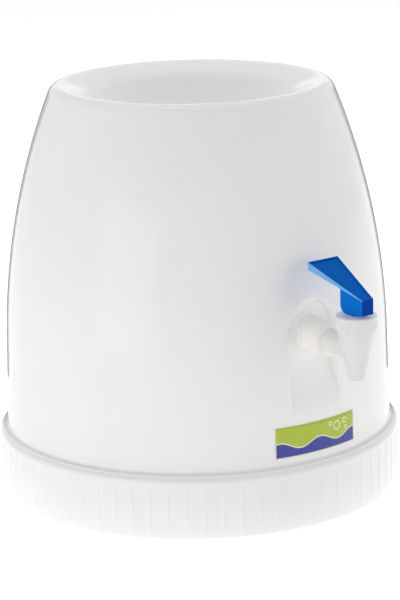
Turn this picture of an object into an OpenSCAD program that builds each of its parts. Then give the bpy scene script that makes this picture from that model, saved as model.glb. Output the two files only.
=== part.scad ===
// Portable water dispenser: a domed tank that carries an upturned bottle, on a ribbed twist-off base,
// with a lever tap in a niche of its wall. Millimetres, +Z up, the tap towards -Y.
// The origin is on the table, at the centre of the base.

/* [Base] */
// Diameter of the base over its grip ribs
base_d = 282; // [272:1:300]
// Height of the base ring
base_h = 42.6; // [40:0.2:46]
// Wall thickness of the base
base_wall = 3; // [2.5:0.1:3.5]
// Rounding of the upper edge of the base
base_edge_r = 3.5; // [2:0.1:5]
// Number of grip ribs around the base
rib_count = 72; // [36:1:90]
// How far a grip rib stands out
rib_h = 0.5; // [0.3:0.1:1]
// Width of a grip rib
rib_w = 3; // [2:0.1:5]
// Height of the smooth band above the grip ribs
smooth_band_h = 4.5; // [3:0.1:8]
// Height of the web that carries the seal, above the table
web_z = 8; // [5:0.5:10]
// Height of the raised tank floor above the table
floor_h = 108; // [90:1:111]
// Thickness of the base seal
seal_t = 3; // [2:0.1:4]

/* [Bayonet] */
// Number of bayonet lugs
lug_count = 6; // [4:1:6]
// Angle that a lug covers, in degrees
lug_angle = 24; // [18:1:24]
// Thickness of a lug
lug_t = 4; // [3:0.1:4.5]
// How far the lugs of the two rings overlap
lug_grip = 2.4; // [1.5:0.1:2.6]

/* [Dome] */
// Overall height, from the table to the crest of the rim
overall_h = 281.6; // [276:0.2:290]
// Wall thickness of the dome
shell_wall = 3; // [2.5:0.1:3.5]
// Gap between the base and the flange of the dome
seam_gap = 0.6; // [0.4:0.1:2]
// How far the flange stays inside the base
flange_inset = 2.9; // [2.4:0.1:3.2]
// Thickness of the flange at its lip
flange_t = 1.2; // [1:0.1:2]
// How far the foot of the wall flares out to the flange
foot_flare = 3.1; // [2.6:0.1:3.4]
// Radius of the hollow above the flange
foot_fillet_r = 4; // [3.6:0.1:5]
// Draft of the straight part of the wall, in degrees
wall_draft = 1.47; // [1:0.01:2]
// Height up to which the wall is straight
straight_h = 107; // [98:1:116]
// Radius at which the wall curves in above that
curve_r = 490; // [450:5:560]
// Radius at which the rim rolls over from the wall to its crest
rim_r = 8.5; // [7.5:0.1:9.5]
// Radius at which it rolls on from its crest into the bowl
rim_in_r = 27; // [24:0.5:30]
// Radius of the bowl that carries the shoulder of the bottle
bowl_r = 87; // [84:0.5:92]

/* [Bottle neck] */
// Diameter of the bore that takes the neck of the bottle
neck_d = 61; // [58:0.5:64]
// Length of that bore below its rounded mouth
neck_l = 45; // [35:1:55]
// Rounding of the mouth of the bore
neck_mouth_r = 4; // [2:0.5:5]

/* [Niche] */
// Height of the axis of the tap above the table
tap_z = 129; // [128:0.5:136]
// Width of the niche
niche_w = 41.5; // [38:0.5:48]
// Depth of the niche at the axis of the tap
niche_depth = 11; // [8:0.5:13]
// Height of the centre of the arch above the axis of the tap
arch_rise = 2.6; // [1:0.2:5]
// Height at which the floor of the niche starts to slope out
ramp_top_z = 108; // [102:1:110]
// Height at which that slope meets the wall
ramp_low_z = 80; // [78:1:88]

/* [Tap] */
// Distance from the floor of the niche to the axis of the spout
spout_reach = 53; // [52:0.5:60]
// Diameter of the barrel and of its shank
barrel_d = 16; // [15:0.1:17]
// Bore of the barrel
barrel_bore_d = 10; // [8:0.1:10.5]
// How far the shank reaches into the tank
shank_l = 20.5; // [18:0.5:24]
// Diameter of the outlet of the spout
outlet_d = 11.2; // [11:0.1:13]
// Distance from the axis of the barrel down to the outlet
spout_drop = 20.2; // [19:0.1:21]
// Height of the valve seat above the outlet
seat_rise = 15.2; // [14.5:0.1:16]
// Diameter of the spout below the bonnet
spout_top_d = 24.8; // [24:0.1:26]
// Wall thickness of the spout
spout_wall = 1.7; // [1.5:0.1:1.9]
// Diameter of the hole that the water leaves by
outlet_bore_d = 8; // [7:0.1:8.4]
// Diameter of the bonnet at its top
bonnet_d = 27.7; // [27:0.1:30]
// Height of the bonnet
bonnet_h = 10.5; // [10:0.1:12]
// Height of the top of the bonnet above the axis of the barrel
bonnet_rise = 22.5; // [22:0.1:24]
// Number of grip ribs on the bonnet
bonnet_rib_count = 40; // [24:1:48]
// Share of the height of the bonnet that the ribs take up
bonnet_rib_share = 0.55; // [0.4:0.05:0.8]
// Thickness of the top of the bonnet
bonnet_top_t = 3; // [2.5:0.1:3.5]

/* [Tap fixing] */
// Diameter of the sleeve of the outer lock nut
lock_nut_d = 22.4; // [21:0.1:25]
// Length of the outer lock nut
lock_nut_l = 20; // [18:0.5:22]
// Diameter of its flange
lock_flange_d = 24.8; // [24:0.1:26]
// Thickness of its flange
lock_flange_t = 3; // [2:0.1:4]
// Diameter of the two washers
washer_d = 26; // [25:0.1:29]
// Thickness of the outer washer
outer_washer_t = 6.5; // [5:0.1:7.5]
// Thickness of the inner washer
inner_washer_t = 3.5; // [2.5:0.1:4]
// Width across the flats of the inner nut
nut_flats = 24; // [22:0.1:26]
// Thickness of the inner nut
nut_t = 8; // [6:0.1:9]

/* [Lever] */
// Distance from the axis of the spout to the outer end of the lever
lever_out = 11.5; // [10:0.1:12.5]
// Distance from the axis of the spout to the tip of the paddle
lever_in = 33.5; // [30:0.1:36]
// Width of the cam block and of the outer end of the lever
block_w = 9.2; // [9:0.1:10]
// Width of the paddle at its tip
paddle_w = 25; // [22:0.1:28]
// Thickness of the paddle at its tip
paddle_t = 5; // [3.5:0.1:6]
// Thickness that the paddle keeps at the outer end
paddle_end_t = 0.5; // [0.4:0.1:1]
// Depth of the dished top of the lever
paddle_dish = 0.6; // [0.3:0.1:1]
// Width of the border around the dished top
paddle_border = 1.2; // [0.9:0.1:2]
// Height of the outer end of the lever above the bonnet
lever_end_h = 12.1; // [11.5:0.1:13]
// Slope of the top of the lever, in degrees
lever_slope = 22.3; // [18:0.1:25]
// Distance from the axis of the spout to the inner face of the cam block
block_in = 10.4; // [10:0.1:10.8]
// Height of the pivot above the foot of the cam
cam_r = 6.2; // [6:0.05:6.6]
// Lift of the cam for each radian that the lever turns
cam_lift = 4; // [3.6:0.05:4.2]
// Turn of the lever from rest to fully open, in degrees
press_angle = 30; // [24:1:30]
// Slope of the foot of the cam block towards the outer end, in degrees
heel_slope = 10; // [5:0.5:14]
// Diameter of the pivots of the lever
pivot_d = 3; // [2.6:0.1:3.2]

/* [Valve] */
// Diameter of the valve stem
stem_d = 5; // [4.6:0.1:5]
// Diameter of the foot of the stem
stem_foot_d = 6.8; // [6.6:0.1:7]
// Diameter of the plug of the valve bell
plug_d = 10.8; // [10.6:0.1:11.2]
// Outer diameter of the thin wall of the valve bell
bell_d = 12.4; // [12.2:0.1:13]
// Thickness of that wall
bell_wall = 0.8; // [0.6:0.05:0.9]
// Thickness of the rim of the valve bell
bell_rim_t = 1.2; // [1:0.1:1.6]
// Thickness of the spring cup
cup_t = 1; // [0.8:0.1:1.4]
// Wire diameter of the return spring
wire_d = 0.8; // [0.6:0.05:0.9]
// Mean diameter of the return spring
spring_d = 8.8; // [8.4:0.1:9]
// Number of turns of the return spring
spring_turns = 8; // [6:1:10]

/* [Label] */
// Width of the front label along the wall
label_w = 67; // [50:1:80]
// Height of the front label
label_h = 21; // [16:0.5:24]
// Height of the lower edge of the label above the table
label_z = 49.5; // [49:0.5:55]
// Thickness of the label
label_t = 0.25; // [0.15:0.05:0.4]

/* [Clearances] */
// Radial running clearance of a shaft in its hole
run_gap = 0.05; // [0.03:0.01:0.08]
// Gap between parts that move past each other
slip_gap = 0.3; // [0.2:0.05:0.4]
// Gap between faces that press on each other
seat_gap = 0.1; // [0.05:0.01:0.2]
// Gap between the cam and the top of the bonnet
cam_gap = 0.15; // [0.1:0.01:0.2]
// Radial gap between threads, drawn as plain cylinders
thread_gap = 0.1; // [0.05:0.01:0.15]

/* [Hidden] */
$fn = 96;

// A cut reaches this far past the face that it opens
over = 1;
// Turned walls begin and end this far round from +X, in degrees
turn_start = 20;

// Base ring, its lugs and the seal
base_r = base_d / 2;
skirt_r = base_r - rib_h;
skirt_in_r = skirt_r - base_wall;
rib_top_z = base_h - smooth_band_h;
rib_round_r = (rib_w * rib_w / 4 + rib_h * rib_h) / (2 * rib_h);
base_foot_r = 1.5;
web_top_z = web_z + base_wall;
lug_side_gap = 1;
lug_r = skirt_in_r - lug_side_gap;
cap_lug_r = lug_r - lug_grip;
spigot_r = cap_lug_r - lug_side_gap;
spigot_in_r = spigot_r - shell_wall;
seal_lap = 0.5;
seal_r = spigot_r + seal_lap;
seal_in_r = spigot_in_r - seal_lap;
seal_rib_w = 1.4;
seal_rib_rise = 2;
seal_rib_r = seal_in_r - slip_gap;
spigot_z = web_top_z + seal_t + seat_gap;
lug_rise = 6;
lug_z = spigot_z + lug_rise;
cap_lug_z = lug_z + lug_t + slip_gap;
stop_angle = 3.6;
stop_gap_angle = 0.4;

// Dome: the straight wall, the arc above it, the rim, the bowl and the neck.
// The hollow above the flange sinks a little into the wall, so the two meet at a clear edge
seam_z = base_h + seam_gap;
flange_r = base_r - flange_inset;
foot_r = flange_r - foot_flare;
lip_z = seam_z + flange_t;
draft_tan = tan(wall_draft);
fillet_sink = 0.05;
fillet_a = (foot_fillet_r - fillet_sink) / cos(wall_draft) - foot_flare - flange_t * draft_tan;
fillet_root = pow(fillet_a * draft_tan, 2)
    - (1 + draft_tan * draft_tan) * (fillet_a * fillet_a - foot_fillet_r * foot_fillet_r);
fillet_rise = (fillet_a * draft_tan + sqrt(fillet_root)) / (1 + draft_tan * draft_tan);
fillet_z = lip_z + fillet_rise;
fillet_c = flange_r + fillet_a - fillet_rise * draft_tan;
straight_top_r = foot_r - (straight_h - seam_z) * draft_tan;
arc_r = straight_top_r - curve_r * cos(wall_draft);
arc_z = straight_h - curve_r * sin(wall_draft);
rim_z = overall_h - rim_r;
rim_angle = asin((rim_z - arc_z) / (curve_r - rim_r));
rim_c = arc_r + (curve_r - rim_r) * cos(rim_angle);
rim_in_z = overall_h - rim_in_r;
bowl_z = rim_in_z + sqrt(pow(rim_in_r + bowl_r, 2) - rim_c * rim_c);
neck_r = neck_d / 2;
mouth_c = neck_r + neck_mouth_r;
mouth_z = bowl_z - sqrt(pow(bowl_r + neck_mouth_r, 2) - mouth_c * mouth_c);
mouth_edge_r = bowl_r * mouth_c / (bowl_r + neck_mouth_r);
neck_low_z = mouth_z - neck_l;

function wall_r(z) = z < straight_h
    ? foot_r - (z - seam_z) * draft_tan
    : arc_r + sqrt(curve_r * curve_r - pow(z - arc_z, 2));

// Niche, measured out from the axis of the dome
niche_floor = wall_r(tap_z) - niche_depth;
niche_back = niche_floor - shell_wall;
niche_far = base_r + niche_depth;
arch_z = tap_z + arch_rise;
ramp_angle = atan((wall_r(ramp_low_z) - niche_floor) / (ramp_top_z - ramp_low_z));

// Raised floor of the tank: its wall leans in to pass the back of the niche
plinth_step = 1;
plinth_gap = 5.5;
plinth_r = seal_rib_r - seal_rib_w - plinth_step;
plinth_top_r = niche_back - plinth_gap;

// Tap
barrel_r = barrel_d / 2;
shank_r = barrel_r + thread_gap;
spout_c = niche_floor + spout_reach;
outlet_z = tap_z - spout_drop;
bonnet_top_z = tap_z + bonnet_rise;
bonnet_z = bonnet_top_z - bonnet_h;
seat_z = outlet_z + seat_rise;
outlet_r = outlet_d / 2;
spout_r = spout_top_d / 2;
spout_taper = (spout_r - outlet_r) / (bonnet_z - outlet_z);
chamber_low_r = outlet_r + seat_rise * spout_taper - spout_wall;
bonnet_wall = 1.4;
tap_neck_r = spout_r - bonnet_wall;
tap_neck_in_r = tap_neck_r - spout_wall;
chamber_z = seat_z + (tap_neck_in_r - chamber_low_r) / spout_taper;
bonnet_under_z = bonnet_top_z - bonnet_top_t;
spring_recess_h = 2.3;
bonnet_ledge_z = bonnet_under_z - spring_recess_h;
tap_neck_z = bonnet_ledge_z - bell_rim_t - 2 * seat_gap;
outlet_bead = 0.4;
outlet_bead_h = 1.4;
bonnet_edge = 0.8;
bonnet_rib_r = 0.45;

// Valve, from the seat up
stem_r = stem_d / 2;
stem_hole_r = stem_r + run_gap;
plug_z = seat_z + seat_gap;
plug_skin = 1.2;
stem_foot_t = 1.6;
stem_foot_z = plug_z + plug_skin;
socket_top_z = stem_foot_z + stem_foot_t + seat_gap;
plug_collar_t = 1.9;
plug_top_z = socket_top_z + plug_collar_t;
bell_r = bell_d / 2;
bell_in_r = bell_r - bell_wall;
bell_floor_t = 1;
bell_shoulder_z = plug_top_z - bell_floor_t;
cup_z = plug_top_z + seat_gap;
cup_r = bell_in_r - slip_gap;
spring_z = cup_z + cup_t;
spring_top_z = bonnet_under_z - seat_gap;

// Helix of the spring wire, from the cup up to the top of the bonnet
rings_per_turn = 8;
wire_sides = 6;
spring_rings = rings_per_turn * spring_turns;
spring_rise = spring_top_z - spring_z - wire_d;
function spring_point(i) = let (a = 360 * i / rings_per_turn)
    [
        spring_d / 2 * cos(a),
        spring_d / 2 * sin(a),
        spring_z + wire_d / 2 + spring_rise * i / spring_rings
    ];
function wire_vertex(i, j) = let (a = 360 * i / rings_per_turn, b = 360 * j / wire_sides)
    spring_point(i) + wire_d / 2 * [cos(b) * cos(a), cos(b) * sin(a), sin(b)];
spring_gap = min([
    for (i = [0:spring_rings])
        for (j = [0:spring_rings])
            if (j - i > rings_per_turn / 2) norm(spring_point(j) - spring_point(i)) - wire_d
]);
echo(least_gap_of_the_spring_to_itself = spring_gap);

// Lever, measured from its pivot: first towards the paddle, then up
pivot_z = bonnet_top_z + cam_gap + cam_r;
pivot_r = pivot_d / 2;
pivot_skin = 0.7;
pivot_half_l = block_w / 2 - pivot_skin - seat_gap;
slot_w = stem_d + slip_gap;
slot_out = stem_r + slip_gap;
slot_in = (cam_r + stem_r * sin(press_angle)) * tan(press_angle) + stem_r * cos(press_angle) + slip_gap;
slot_top = stem_r + slip_gap;
lever_end_top = bonnet_top_z + lever_end_h - pivot_z;
cam_toe = -2;
function cam_point(a) = let (p = cam_r + cam_lift * a * PI / 180)
    [p * sin(a) + cam_lift * cos(a), cam_lift * sin(a) - p * cos(a)];
cam_end = cam_point(press_angle);
nose_r = (block_in - cam_end.x) / (1 - sin(press_angle));
nose_c = cam_end + nose_r * [-sin(press_angle), cos(press_angle)];
function lever_top(u) = lever_end_top + (u + lever_out) * tan(lever_slope);
function lever_half_w(u) =
    block_w / 2 + (u + lever_out) * (paddle_w - block_w) / 2 / (lever_in + lever_out);

// Label
label_mid_r = wall_r(label_z + label_h / 2);
label_angle = label_w / label_mid_r * 180 / PI;

// Local z runs out from the axis of the dome along the axis of the tap
module tap_frame(reach = 0) {
    translate([0, -reach, tap_z]) rotate([90, 0, 0]) children();
}

// Upright axis of the spout
module spout_frame() {
    translate([0, -spout_c, 0]) children();
}

module ring(r_out, r_in, h) {
    difference() {
        cylinder(r = r_out, h = h);
        translate([0, 0, -over]) cylinder(r = r_in, h = h + 2 * over);
    }
}

// A half section turned about the axis of the dome
module turned() {
    rotate([0, 0, turn_start]) rotate_extrude($fn = 180) children();
}

// A ring section between two radii and two heights, for turning about the axis
module band(r_in, r_out, z_low, z_high) {
    translate([r_in, z_low]) square([r_out - r_in, z_high - z_low]);
}

// Half section of the dome above its flange, drawn in by a wall thickness
module dome_section(inset = 0) {
    join_r = straight_top_r - inset * cos(wall_draft);
    join_z = straight_h - inset * sin(wall_draft);
    rim_join_z = rim_z + (rim_r - inset) * sin(rim_angle);
    polygon([
        [0, seam_z],
        [foot_r - inset / cos(wall_draft), seam_z],
        [join_r, join_z],
        [0, join_z]
    ]);
    intersection() {
        translate([arc_r, arc_z]) circle(r = curve_r - inset, $fn = 720);
        band(0, foot_r, join_z, rim_join_z);
    }
    band(0, rim_c, rim_join_z - over, overall_h - inset);
    translate([rim_c, rim_z]) circle(r = rim_r - inset);
}

// Half section of the hollow of the bowl, grown by a wall thickness
module bowl_section(grow = 0) {
    rim_touch_z = rim_in_z + (rim_in_r - grow) * (bowl_z - rim_in_z) / (rim_in_r + bowl_r);
    difference() {
        union() {
            intersection() {
                translate([0, bowl_z]) circle(r = bowl_r + grow, $fn = 360);
                band(0, rim_c, rim_z - bowl_r, overall_h + over);
            }
            band(0, rim_c, rim_touch_z, overall_h + over);
        }
        translate([rim_c, rim_in_z]) circle(r = rim_in_r - grow, $fn = 180);
    }
}

// Half section of the bore for the bottle, with its rounded mouth
module neck_bore_section() {
    band(0, neck_r, neck_low_z - over, mouth_z + over);
    difference() {
        band(0, mouth_edge_r, mouth_z, bowl_z);
        translate([mouth_c, mouth_z]) circle(r = neck_mouth_r);
    }
}

// Flange at the foot of the dome, with the hollow above it, and the spigot that enters the base
module foot_section() {
    difference() {
        polygon([
            [foot_r - shell_wall, seam_z],
            [flange_r, seam_z],
            [flange_r, lip_z],
            [wall_r(fillet_z), fillet_z],
            [wall_r(fillet_z) - shell_wall / 2, fillet_z]
        ]);
        translate([fillet_c, fillet_z]) circle(r = foot_fillet_r);
    }
    band(spigot_in_r, foot_r, seam_z, seam_z + shell_wall);
    band(spigot_in_r, spigot_r, spigot_z, seam_z + over);
}

module shell_section() {
    difference() {
        dome_section();
        bowl_section();
        difference() {
            dome_section(shell_wall);
            bowl_section(shell_wall);
            band(neck_r, neck_r + shell_wall, neck_low_z, bowl_z);
        }
        neck_bore_section();
    }
    foot_section();
}

// Arched niche, open to the front, with a sloping lower end, grown by a wall thickness
module niche_form(grow = 0) {
    back = niche_floor - grow;
    half_w = niche_w / 2 + grow;
    ramp_z = ramp_top_z - grow * tan(ramp_angle / 2);
    far_z = ramp_z - (niche_far - back) / tan(ramp_angle);
    difference() {
        translate([0, -back, 0]) rotate([90, 0, 0]) linear_extrude(height = niche_far - back) {
            translate([0, arch_z]) circle(r = half_w);
            translate([-half_w, far_z]) square([2 * half_w, arch_z - far_z]);
        }
        rotate([90, 0, -90]) linear_extrude(height = 2 * half_w + 2 * over, center = true)
            polygon([
                [back, ramp_z],
                [back - over, ramp_z],
                [back - over, far_z - over],
                [niche_far + over, far_z - over],
                [niche_far + over, far_z - over / tan(ramp_angle)]
            ]);
    }
}

module lug_ring(r_in, r_out, z_low, z_high, angle_from, angle_to) {
    for (i = [0:lug_count - 1])
        rotate([0, 0, i * 360 / lug_count + angle_from])
            rotate_extrude(angle = angle_to - angle_from, $fn = 180)
                band(r_in, r_out, z_low, z_high);
}

module body_shell() {
    half_lug = lug_angle / 2;
    stop_from = half_lug + stop_gap_angle;
    color("white") {
        difference() {
            union() {
                turned() shell_section();
                intersection() {
                    turned() dome_section(shell_wall / 2);
                    niche_form(shell_wall);
                }
            }
            niche_form();
            tap_frame(niche_back - over) cylinder(r = barrel_r + slip_gap, h = shell_wall + 2 * over);
        }
        lug_ring(spigot_r - over, lug_r, lug_z, lug_z + lug_t, -half_lug, half_lug);
        lug_ring(spigot_r - over, lug_r, lug_z, cap_lug_z + lug_t, stop_from, stop_from + stop_angle);
    }
}

// Half section of the wall and its foot, grown outwards
module wall_skin(grow) {
    dome_section(-grow);
    translate([grow, 0]) foot_section();
}

module front_label() {
    color("yellowgreen")
        rotate([0, 0, -90 - label_angle / 2])
            rotate_extrude(angle = label_angle, $fn = 180)
                intersection() {
                    difference() {
                        wall_skin(seat_gap + label_t);
                        wall_skin(seat_gap);
                    }
                    band(0, flange_r, label_z, label_z + label_h);
                }
}

// Wall of the base ring, with a large rounding above and a small one below
module skirt_section() {
    difference() {
        union() {
            band(0, skirt_r - base_foot_r, 0, base_h - base_edge_r);
            band(0, skirt_r, base_foot_r, base_h - base_edge_r);
            translate([skirt_r - base_foot_r, base_foot_r]) circle(r = base_foot_r);
            band(0, skirt_r - base_edge_r, 0, base_h);
            translate([skirt_r - base_edge_r, base_h - base_edge_r]) circle(r = base_edge_r);
        }
        band(0, skirt_in_r, -over, base_h + over);
    }
}

// Round grip ribs on a thin ring inside the wall
module rib_outline() {
    difference() {
        union() {
            circle(r = skirt_r, $fn = 180);
            for (i = [0:rib_count - 1])
                rotate(i * 360 / rib_count)
                    translate([base_r - rib_round_r, 0])
                        circle(r = rib_round_r, $fn = 24);
        }
        circle(r = skirt_r - base_wall / 3, $fn = 180);
    }
}

// Web, locating rib of the seal, leaning wall and raised floor
module tank_floor_section() {
    band(plinth_r - base_wall, skirt_in_r + base_wall / 2, web_z, web_top_z);
    band(seal_rib_r - seal_rib_w, seal_rib_r, web_z, web_top_z + seal_t + seal_rib_rise);
    polygon([
        [plinth_r - base_wall, web_z],
        [plinth_r, web_z],
        [plinth_top_r, floor_h],
        [plinth_top_r - base_wall, floor_h]
    ]);
    band(0, plinth_top_r, floor_h - base_wall, floor_h);
}

module base_cap() {
    half_lug = lug_angle / 2;
    color("white") {
        turned() skirt_section();
        translate([0, 0, base_foot_r]) linear_extrude(height = rib_top_z - base_foot_r) rib_outline();
        turned() tank_floor_section();
        lug_ring(cap_lug_r, skirt_in_r + over, cap_lug_z, cap_lug_z + lug_t, -half_lug, half_lug);
    }
}

module base_seal() {
    color("gainsboro")
        translate([0, 0, web_top_z]) ring(seal_r, seal_in_r, seal_t);
}

module tap_body() {
    color("whitesmoke")
        difference() {
            union() {
                spout_frame() rotate_extrude()
                    polygon([
                        [0, outlet_z],
                        [outlet_r + outlet_bead, outlet_z],
                        [outlet_r + outlet_bead, outlet_z + outlet_bead_h],
                        [outlet_r + outlet_bead_h * spout_taper, outlet_z + outlet_bead_h],
                        [spout_r, bonnet_z],
                        [tap_neck_r, bonnet_z],
                        [tap_neck_r, tap_neck_z],
                        [0, tap_neck_z]
                    ]);
                tap_frame(niche_back - shank_l) cylinder(r = barrel_r, h = spout_c - niche_back + shank_l);
            }
            spout_frame() rotate_extrude()
                polygon([
                    [0, seat_z],
                    [chamber_low_r, seat_z],
                    [tap_neck_in_r, chamber_z],
                    [tap_neck_in_r, tap_neck_z + over],
                    [0, tap_neck_z + over]
                ]);
            spout_frame() translate([0, 0, outlet_z - over])
                cylinder(r = outlet_bore_d / 2, h = seat_rise + 2 * over);
            tap_frame(niche_back - shank_l - over)
                cylinder(r = barrel_bore_d / 2, h = spout_c - niche_back + shank_l + over);
        }
}

module tap_bonnet() {
    low_r = spout_r + seat_gap;
    top_r = bonnet_d / 2;
    lean = atan((top_r - low_r) / bonnet_h);
    rib_l = (bonnet_h * bonnet_rib_share - bonnet_edge) / cos(lean);
    color("whitesmoke")
        spout_frame() {
            rotate_extrude()
                difference() {
                    polygon([
                        [0, bonnet_z],
                        [low_r, bonnet_z],
                        [top_r, bonnet_top_z - bonnet_edge],
                        [top_r - bonnet_edge, bonnet_top_z],
                        [0, bonnet_top_z]
                    ]);
                    band(0, tap_neck_r + thread_gap, bonnet_z - over, bonnet_ledge_z);
                    band(0, bell_in_r, bonnet_z, bonnet_under_z);
                    band(0, stem_hole_r, bonnet_z, bonnet_top_z + over);
                }
            for (i = [0:bonnet_rib_count - 1])
                rotate([0, 0, i * 360 / bonnet_rib_count])
                    translate([low_r + bonnet_edge * tan(lean), 0, bonnet_z + bonnet_edge])
                        rotate([0, lean, 0])
                            cylinder(r = bonnet_rib_r, h = rib_l, $fn = 16);
        }
}

module outer_lock_nut() {
    color("ivory")
        tap_frame(niche_floor + outer_washer_t) {
            ring(lock_flange_d / 2, shank_r, lock_flange_t);
            ring(lock_nut_d / 2, shank_r, lock_nut_l);
        }
}

module outer_washer() {
    color("gainsboro")
        tap_frame(niche_floor) ring(washer_d / 2, shank_r, outer_washer_t);
}

module inner_washer() {
    color("gainsboro")
        tap_frame(niche_back - inner_washer_t) ring(washer_d / 2, shank_r, inner_washer_t);
}

module shank_nut() {
    color("whitesmoke")
        tap_frame(niche_back - inner_washer_t - nut_t)
            difference() {
                cylinder(d = nut_flats / cos(30), h = nut_t, $fn = 6);
                translate([0, 0, -over]) cylinder(r = shank_r, h = nut_t + 2 * over);
            }
}

// Silicone bell: the plug closes the outlet, the thin wall keeps the spring dry, the rim is clamped
module valve_bell() {
    plug_r = plug_d / 2;
    rim_low_z = tap_neck_z + seat_gap;
    color("lightgray")
        spout_frame() rotate_extrude()
            difference() {
                union() {
                    band(0, plug_r, plug_z, plug_top_z);
                    band(0, bell_r, bell_shoulder_z, rim_low_z + bell_rim_t);
                    band(0, tap_neck_r - slip_gap, rim_low_z, rim_low_z + bell_rim_t);
                }
                band(0, bell_in_r, plug_top_z, bonnet_top_z);
                band(0, stem_foot_d / 2 + run_gap, stem_foot_z, socket_top_z);
                band(0, stem_hole_r, stem_foot_z, plug_top_z + over);
            }
}

module spring_cup() {
    color("silver")
        spout_frame() translate([0, 0, cup_z]) ring(cup_r, stem_hole_r, cup_t);
}

module return_spring() {
    points = [for (i = [0:spring_rings]) for (j = [0:wire_sides - 1]) wire_vertex(i, j)];
    function at(i, j) = i * wire_sides + j % wire_sides;
    sides = [
        for (i = [0:spring_rings - 1]) for (j = [0:wire_sides - 1])
            each [
                [at(i, j), at(i, j + 1), at(i + 1, j + 1)],
                [at(i, j), at(i + 1, j + 1), at(i + 1, j)]
            ]
    ];
    first_end = [for (j = [1:wire_sides - 2]) [at(0, 0), at(0, j + 1), at(0, j)]];
    last_end = [
        for (j = [1:wire_sides - 2])
            [at(spring_rings, 0), at(spring_rings, j), at(spring_rings, j + 1)]
    ];
    color("silver")
        spout_frame() polyhedron(points = points, faces = concat(sides, first_end, last_end));
}

module valve_stem() {
    color("whitesmoke")
        spout_frame() {
            translate([0, 0, stem_foot_z]) cylinder(d = stem_foot_d, h = stem_foot_t);
            translate([0, 0, stem_foot_z]) cylinder(r = stem_r, h = pivot_z - stem_foot_z);
            translate([0, 0, pivot_z]) sphere(r = stem_r);
            translate([-pivot_half_l, 0, pivot_z]) rotate([0, 90, 0])
                cylinder(r = pivot_r, h = 2 * pivot_half_l);
        }
}

// Side outline of the cam block: heel, cam, nose, inner face, sloping top and outer end
module cam_block_outline() {
    heel_rise = (lever_out + cam_toe) * tan(heel_slope);
    steps = 12;
    polygon(concat(
        [[-lever_out, heel_rise - cam_r], [cam_toe, -cam_r]],
        [for (i = [0:steps]) cam_point(press_angle * i / steps)],
        [
            for (i = [1:steps])
                let (a = press_angle + (90 - press_angle) * i / steps)
                nose_c + nose_r * [sin(a), -cos(a)]
        ],
        [[block_in, lever_top(block_in)], [-lever_out, lever_end_top]]
    ));
}

// Side outline of the paddle: a wedge, thickest at its tip
module paddle_outline() {
    polygon([
        [-lever_out, lever_end_top - paddle_end_t],
        [lever_in, lever_top(lever_in) - paddle_t],
        [lever_in, lever_top(lever_in)],
        [-lever_out, lever_end_top]
    ]);
}

// Side outline of the dished top, open upwards
module dish_outline() {
    polygon([
        [-lever_out, lever_end_top - paddle_dish],
        [lever_in, lever_top(lever_in) - paddle_dish],
        [lever_in, lever_top(lever_in) + over],
        [-lever_out, lever_top(lever_in) + over]
    ]);
}

// The lever seen from above, drawn in by a border
module lever_plan(border) {
    out = border - lever_out;
    in = lever_in - border;
    linear_extrude(height = lever_top(lever_in) + 2 * over)
        polygon([
            [border - lever_half_w(out), out],
            [lever_half_w(out) - border, out],
            [lever_half_w(in) - border, in],
            [border - lever_half_w(in), in]
        ]);
}

// A side outline, first towards the paddle and then up, made into a plate across the lever
module across_lever(width) {
    rotate([90, 0, 90]) linear_extrude(height = width, center = true) children();
}

module lever() {
    hole_half_l = block_w / 2 - pivot_skin;
    color("royalblue")
        spout_frame() translate([0, 0, pivot_z])
            difference() {
                union() {
                    across_lever(block_w) cam_block_outline();
                    intersection() {
                        across_lever(paddle_w + over) paddle_outline();
                        lever_plan(0);
                    }
                }
                intersection() {
                    across_lever(paddle_w) dish_outline();
                    lever_plan(paddle_border);
                }
                translate([-slot_w / 2, -slot_out, -cam_r - over])
                    cube([slot_w, slot_out + slot_in, cam_r + over + slot_top]);
                translate([-hole_half_l, 0, 0]) rotate([0, 90, 0])
                    cylinder(r = pivot_r + run_gap, h = 2 * hole_half_l);
            }
}

body_shell();
front_label();
base_cap();
base_seal();
tap_body();
tap_bonnet();
outer_lock_nut();
outer_washer();
inner_washer();
shank_nut();
valve_bell();
spring_cup();
return_spring();
valve_stem();
lever();
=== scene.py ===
"""Looks of a portable water dispenser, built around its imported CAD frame.

Shapes are worked out in millimetres in the CAD's own frame: +Z up, the tap towards -Y.
"""

import math

import bmesh
import bpy
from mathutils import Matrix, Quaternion, Vector


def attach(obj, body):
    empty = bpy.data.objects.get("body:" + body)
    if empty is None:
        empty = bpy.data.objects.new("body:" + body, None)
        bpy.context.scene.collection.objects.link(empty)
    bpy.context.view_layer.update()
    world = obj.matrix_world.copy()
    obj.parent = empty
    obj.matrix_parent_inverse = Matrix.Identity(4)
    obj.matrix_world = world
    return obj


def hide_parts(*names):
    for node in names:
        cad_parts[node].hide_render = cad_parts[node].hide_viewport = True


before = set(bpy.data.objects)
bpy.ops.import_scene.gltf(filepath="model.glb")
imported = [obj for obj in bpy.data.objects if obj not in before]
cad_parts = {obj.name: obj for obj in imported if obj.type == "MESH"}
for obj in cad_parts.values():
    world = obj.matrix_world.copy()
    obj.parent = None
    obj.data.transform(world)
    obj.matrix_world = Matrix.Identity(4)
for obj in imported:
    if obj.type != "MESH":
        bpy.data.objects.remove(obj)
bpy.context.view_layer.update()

MM = 0.001

# Camera, fitted to the outline of the object in a frame of 400 by 600 pixels
IMAGE_SIZE = (400, 600)
SENSOR_MM = 36.0
FOCAL_PX = 2390.77
TARGET = (0.0, 0.0, 135.0)
TARGET_PX = (195.86, 287.83)
CAMERA_DISTANCE = 1674.68
CAMERA_AZIMUTH = -36.0
CAMERA_ELEVATION = 14.66
CAMERA_ROLL = -1.38
CAMERA_CLIP = (0.05, 50.0)

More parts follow.
